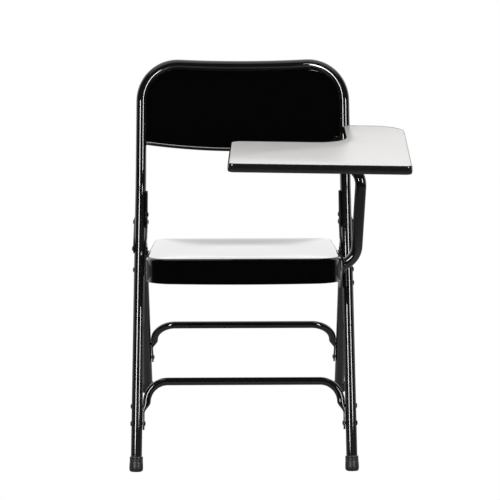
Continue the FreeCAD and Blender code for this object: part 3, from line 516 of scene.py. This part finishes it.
seat = skin("pressed_seat", seat_rows, cap_first=True, cap_last=True)
install(seat, "seat", seat_coat, "seat_enamel", "seat_pan")
print("seat skin", len(seat.data.vertices), "points")

# %% [markdown]
# The back is a second pressing: one sheet curved to the sitter, welded inside the top bar and both
# uprights. A shallow bead runs round it just inside the tube, where the press clamps the blank,
# and the free lower edge is rolled into a hem, so no raw steel meets the sitter. The sheet's rows
# run down the front and up the back, and the hem's rows turn round the lower edge.

# %% Back panel
PANEL_HALF, PANEL_BOW, PANEL_SHEET, PANEL_LEAN = 200.5, 37.0, 1.6, 18.0
PANEL_TOP, PANEL_CORNER, PANEL_BOTTOM_Z, HEM_RISE, HEM_ROLL = 167.65, 70.9, 612.8, 9.1, 3.3
BEAD_IN, BEAD_HIGH, BEAD_WIDE = 10.0, 1.3, 3.0
HEM_START, HEM_END, HEM_STEP = 125, 410, 19
above_knee = PANEL_BOTTOM_Z - FRONT_KNEE[2]
panel_foot = at(0, FRONT_KNEE[1] + above_knee * math.tan(math.radians(PANEL_LEAN)), PANEL_BOTTOM_Z)
panel_place = Matrix.Translation(panel_foot) @ Matrix.Rotation(
    math.radians(-PANEL_LEAN), 4, "X") @ Matrix.Scale(MM, 4)
COLUMNS, ROWS, ROW_CROWDING = 120, 46, 1.25
panel_xs = [PANEL_HALF * math.sin(math.pi * (k / COLUMNS - 0.5)) for k in range(COLUMNS + 1)]


def bowed(x):
    """How far back the sheet stands at a distance from the middle."""
    radius = (PANEL_HALF ** 2 + PANEL_BOW ** 2) / (2 * PANEL_BOW)
    return PANEL_BOW - radius + math.sqrt(radius ** 2 - x * x)


def panel_low(x):
    return HEM_RISE * (x / PANEL_HALF) ** 2


def panel_high(x):
    past = max(abs(x) - (PANEL_HALF - PANEL_CORNER), 0)
    return PANEL_TOP - PANEL_CORNER + math.sqrt(max(PANEL_CORNER ** 2 - past * past, 0))


def bead(x, z):
    """The pressed bead, measured from the tube's inner side round the two top corners."""
    past = abs(x) - (PANEL_HALF - PANEL_CORNER)
    above = z - (PANEL_TOP - PANEL_CORNER)
    if past > 0 and above > 0:
        edge = PANEL_CORNER - math.hypot(past, above)
    else:
        edge = min(PANEL_HALF - abs(x), PANEL_TOP - z)
    return BEAD_HIGH * math.exp(-((edge - BEAD_IN) / BEAD_WIDE) ** 2)


def panel_row(share, sheet):
    row = []
    for x in panel_xs:
        low = panel_low(x) + HEM_ROLL
        z = low + (panel_high(x) - low) * share
        row.append(panel_place @ Vector((x, bowed(x) - bead(x, z) + sheet, z)))
    return row


def hem_row(angle):
    across, up = HEM_ROLL * math.cos(angle), HEM_ROLL * math.sin(angle)
    return [panel_place @ Vector((x, bowed(x) + HEM_ROLL * 0.5 + across, panel_low(x) + up))
            for x in panel_xs]


shares = [1 - (k / ROWS) ** ROW_CROWDING for k in range(ROWS + 1)]
panel_rows = [panel_row(share, 0) for share in shares]
panel_rows += [panel_row(share, PANEL_SHEET) for share in reversed(shares)]
panel = skin("pressed_back", panel_rows, loop=False, wrap=True)
install(panel, "front_frame", sheet_coat, "black_steel", "backrest_panel")
hem_angles = range(HEM_START, HEM_END, HEM_STEP)
hem = skin("rolled_hem", [hem_row(math.radians(a)) for a in hem_angles], loop=False)
install(hem, "front_frame", black_steel, "black_steel", "backrest_hem")
unlit = bpy.data.collections.new("skipped_by_the_strips")
for number, pressing in enumerate((panel, seat)):
    unlit.objects.link(pressing)
    unlit.collection_objects[number].light_linking.link_state = "EXCLUDE"
for strip in strips:
    strip.light_linking.receiver_collection = unlit
print("back skin", len(panel.data.vertices), "points")

# %% [markdown]
# Each brace is one length of rod or small tube. A jig bends it into a wide U and a press squeezes
# its ends flat, so that they lie against the legs and take two rivets each. The section is a
# superellipse that changes along the path, from round in the bar to a flat tongue at the leg.

# %% Braces
BRACE_ROD, TONGUE_HALF_WIDTH, TONGUE_HALF_SHEET = 7.95, 8.0, 1.8
TONGUE_END_DROP, SQUEEZE_RUN = 5.0, 22.0
FRONT_BRACE = {"outer_x": 204.63, "bar": 165, "toe": 87, "bend": 42}
REAR_BRACE = {"outer_x": 206.57, "bar": 192, "toe": 101, "bend": 48}
TOE_STEPS, SQUEEZE_STEPS, BEND_STEPS, ROUND_STEPS = 6, 8, 14, 28
LEAST_TOE_WIDTH, FLAT_SQUARENESS = 0.12, 0.55


def brace_path(outer_x, bar, toe, bend):
    """(x, rise, flatness, toe narrowing) from the left toe over the bar to the right one."""
    rod_x = outer_x - BRACE_ROD
    side = []
    for k in range(TOE_STEPS + 1):
        gap = TONGUE_HALF_WIDTH * (1 - math.sin(math.pi / 2 * k / TOE_STEPS))
        narrow = math.sqrt(max(1 - (gap / TONGUE_HALF_WIDTH) ** 2, 0.0))
        side.append((rod_x, toe - gap, 1, max(narrow, LEAST_TOE_WIDTH)))
    squeeze_end = bar - bend
    squeeze_start = squeeze_end - SQUEEZE_RUN
    side.append((rod_x, (toe + squeeze_start) / 2, 1, 1))
    for k in range(SQUEEZE_STEPS + 1):
        rise = squeeze_start + SQUEEZE_RUN * k / SQUEEZE_STEPS
        side.append((rod_x, rise, 1 - smoothstep(k / SQUEEZE_STEPS, 0, 1), 1))
    for k in range(1, BEND_STEPS + 1):
        turn = math.pi / 2 * k / BEND_STEPS
        side.append((rod_x - bend + bend * math.cos(turn), squeeze_end + bend * math.sin(turn), 0, 1))
    for share in (0.3, 0.6, 0.9):
        side.append(((rod_x - bend) * (1 - share), bar, 0, 1))
    return side + [(-x, rise, flat, narrow) for x, rise, flat, narrow in reversed(side)]


def brace_skin(name, base, up, outer_x, bar, toe, bend):
    """The bent rod; base is a point at floor level and up runs along the legs.

    bar and toe are heights above the floor of the bar and of the tongues' lower rivet.
    """
    out = up.cross(Vector((1, 0, 0)))
    path = brace_path(outer_x, bar / up.z, toe / up.z - TONGUE_END_DROP, bend)
    rod_x = outer_x - BRACE_ROD
    rows = []
    for i, (x, rise, flat, narrow) in enumerate(path):
        ahead, behind = path[min(i + 1, len(path) - 1)], path[max(i - 1, 0)]
        along = Vector((ahead[0] - behind[0], 0, ahead[1] - behind[1])).normalized()
        if abs(x) >= rod_x - 0.01:
            along = Vector((0, 0, math.copysign(1, x)))
        across = Vector((along.z, 0, -along.x))
        thick = BRACE_ROD + (TONGUE_HALF_SHEET - BRACE_ROD) * flat
        wide = (BRACE_ROD + (TONGUE_HALF_WIDTH - BRACE_ROD) * flat) * narrow
        shift = math.copysign(BRACE_ROD - thick, x)
        power = 1 - FLAT_SQUARENESS * flat
        row = []
        for k in range(ROUND_STEPS):
            angle = 2 * math.pi * k / ROUND_STEPS
            c, s = math.cos(angle), math.sin(angle)
            t = math.copysign(abs(c) ** power, c) * thick
            w = math.copysign(abs(s) ** power, s) * wide
            flat_x = x + shift + across.x * t
            row.append(base + Vector((flat_x, 0, 0)) * MM + up * (rise + across.z * t) * MM
                       + out * w * MM)
        rows.append(row)
    return skin(name, rows, cap_first=True, cap_last=True)


FRONT_LEAN = math.radians(23)
front_up = Vector((0, math.sin(FRONT_LEAN), math.cos(FRONT_LEAN)))
front_foot, rear_foot = at(0, FRONT_FOOT[1], 0), at(0, REAR_FOOT[1], 0)
rear_hinge = at(0, REAR_HINGE[1], REAR_HINGE[2])
rear_up = (rear_hinge - rear_foot).normalized()
front_brace = brace_skin("front_brace_bar", front_foot, front_up, **FRONT_BRACE)
rear_brace = brace_skin("rear_brace_bar", rear_foot, rear_up, **REAR_BRACE)
install(front_brace, "front_frame", black_steel, "black_steel", "front_brace")
install(rear_brace, "rear_frame", black_steel, "black_steel", "rear_brace")
print("braces", len(front_brace.data.vertices) + len(rear_brace.data.vertices), "points")

# %% [markdown]
# The ferrules are moulded rubber cups. Each has a rounded tread that wears flat on the floor, a
# slightly barrelled side with two grip grooves, and a thin lip where it hugs the tube. It is a
# profile turned round the leg, with the tread pressed level.

# %% Foot caps
CAP_PROFILE = ((6.5, -3.8), (10.2, -2.6), (12.4, -1.0), (13.5, 1.6), (13.9, 5.0), (13.8, 9.0),
               (13.6, 14.0), (13.5, 17.2), (13.0, 18.0), (13.0, 18.8), (13.5, 19.6), (13.4, 21.6),
               (12.9, 22.4), (12.9, 23.2), (13.4, 24.0), (13.3, 26.6), (12.9, 28.0), (12.1, 28.6),
               (11.2, 28.3), (11.05, 25.0))
CAP_SPOKES = 48


def foot_cap(name, foot, leg, body):
    side_a = leg.orthogonal().normalized()
    side_b = leg.cross(side_a)
    rows = []
    for radius, rise in CAP_PROFILE:
        row = []
        for k in range(CAP_SPOKES):
            angle = 2 * math.pi * k / CAP_SPOKES
            spot = foot + leg * rise * MM + (side_a * math.cos(angle) + side_b * math.sin(angle)) * (
                radius * MM)
            spot.z = max(spot.z, 0.0)
            row.append(spot)
        rows.append(row)
    cap = skin(name, rows, cap_first=True)
    return install(cap, body, foot_rubber, "foot_rubber", name.replace("ferrule", "foot_cap"))


for side, sign in (("left", 1), ("right", -1)):
    for end, (foot_x, foot_y), (top_x, top_y, top_z) in (("front", FRONT_FOOT, FRONT_KNEE),
                                                         ("rear", REAR_FOOT, REAR_HINGE)):
        cap_foot, leg_top = at(sign * foot_x, foot_y, 0), at(sign * top_x, top_y, top_z)
        foot_cap(f"{end}_{side}_ferrule", cap_foot, (leg_top - cap_foot).normalized(),
                 f"{end}_frame")
print("four ferrules")

# %% [markdown]
# The writing board is chipboard under a hard laminate, with a vinyl T-moulding hammered into a
# groove round its edge. The moulding stands a hair proud of the laminate and has a softly rounded
# face, which is what catches a spark of light at each corner. Both follow the board's own outline,
# with a hollow elbow for the sitter's arm.

# %% Writing board
ARM_X, ARM_Z, BOARD_TOP = 210.5, 608.0, 659.0
BOARD_ROLL, BOARD_YAW = math.radians(0.8), math.radians(-1.2)
board_corners = [(x - ARM_X, y, radius) for x, y, radius in (
    (-22, -375, 12), (312, -375, 12), (330, 57, 62), (204, 57, 12), (204, -143, 60),
    (-22, -143, 20))]
board_walk = outline(board_corners, spacing=24, arc_step=6)
board_place = (Matrix.Translation(at(ARM_X, 0, ARM_Z)) @ Matrix.Rotation(BOARD_ROLL, 4, "Y")
               @ Matrix.Translation(Vector((0, 0, (BOARD_TOP - ARM_Z) * MM)))
               @ Matrix.Rotation(BOARD_YAW, 4, "Z") @ Matrix.Scale(MM, 4))


def board_row(outward, height):
    return [board_place @ Vector((*(point + normal * outward), height))
            for point, normal in board_walk]


MOULDING_PROFILE = ((-2.7, -1.3), (-2.7, 0.05), (-2.35, 0.32), (-1.7, 0.30), (-0.95, -0.15),
                    (-0.40, -1.0), (-0.08, -2.3), (0.12, -4.2), (0.22, -8.0), (0.12, -11.8),
                    (-0.15, -13.6), (-0.6, -14.9), (-1.3, -15.7), (-2.1, -16.05), (-2.7, -16.0),
                    (-2.7, -14.8))
moulding = skin("board_edge_band", [board_row(*spot) for spot in MOULDING_PROFILE], wrap=True,
                sharp=60)
install(moulding, "tablet", edge_vinyl, "edge_moulding", "tablet_edge_moulding")
face = skin("board_face", [board_row(-2.72, -1.2), board_row(-2.72, -0.30), board_row(-2.86, -0.08),
                           board_row(-3.1, 0.0)], cap_first=True, cap_last=True, sharp=60)
install(face, "tablet", laminate, "laminate", "tablet_laminate")
print("board edge", len(board_walk), "points round")

# %% [markdown]
# Welds hold the back in its frame and the arm on its bracket. A weld bead is a row of overlapping
# coins of steel: a short round run whose thickness ripples along it, thinned at both ends, half sunk
# in the steel and coated with everything else.

# %% Weld beads
BEAD_RADIUS, COIN_PITCH, COIN_RIPPLE, BEAD_SIDES = 1.9, 2.6, 0.16, 12
POINT_PITCH, POINTS, BEHIND_SHEET = 0.65, 41, 2.6
SIDE_WELD_X, SIDE_WELD_STARTS, TOP_WELD_START, TOP_WELD_DROP = 199.2, (24, 70), 60, 1.6
ARM_FOOT, RING_DEEP, RING_HIGH, RING_POINTS = (199.1, -132, 411), 11.8, 13.4, 96


def weld(name, path, body):
    """A rippled bead through points of the shared frame."""
    steps = len(path) - 1
    rows = []
    travelled = 0.0
    for i, spot in enumerate(path):
        along = (path[min(i + 1, steps)] - path[max(i - 1, 0)]).normalized()
        side_a = along.orthogonal().normalized()
        side_b = along.cross(side_a)
        travelled += (spot - path[max(i - 1, 0)]).length / MM
        ripple = 1 + COIN_RIPPLE * math.cos(2 * math.pi * travelled / COIN_PITCH)
        taper = math.sqrt(max(1 - (2 * i / steps - 1) ** 6, 0.02))
        radius = BEAD_RADIUS * ripple * taper * MM
        rows.append([spot + (side_a * math.cos(a) + side_b * math.sin(a)) * radius
                     for a in (2 * math.pi * k / BEAD_SIDES for k in range(BEAD_SIDES))])
    bead_piece = skin(name, rows, cap_first=True, cap_last=True, sharp=80)
    return install(bead_piece, body, black_steel, "black_steel")


def panel_point(x, back, z):
    return panel_place @ Vector((x, bowed(x) + back, z))


for side, sign in (("left", 1), ("right", -1)):
    for number, start in enumerate(SIDE_WELD_STARTS):
        path = [panel_point(sign * SIDE_WELD_X, BEHIND_SHEET, start + POINT_PITCH * k)
                for k in range(POINTS)]
        weld(f"{side}_side_weld_{number}", path, "front_frame")
    path = [panel_point(sign * (TOP_WELD_START + POINT_PITCH * k), BEHIND_SHEET,
                        PANEL_TOP - TOP_WELD_DROP) for k in range(POINTS)]
    weld(f"{side}_top_weld", path, "front_frame")
ring_angles = [2 * math.pi * k / RING_POINTS for k in range(RING_POINTS + 1)]
ring = [at(*ARM_FOOT) + Vector((0, RING_DEEP * math.cos(a), RING_HIGH * math.sin(a))) * MM
        for a in ring_angles]
weld("arm_foot_weld", ring, "front_frame")
print("seven weld beads")
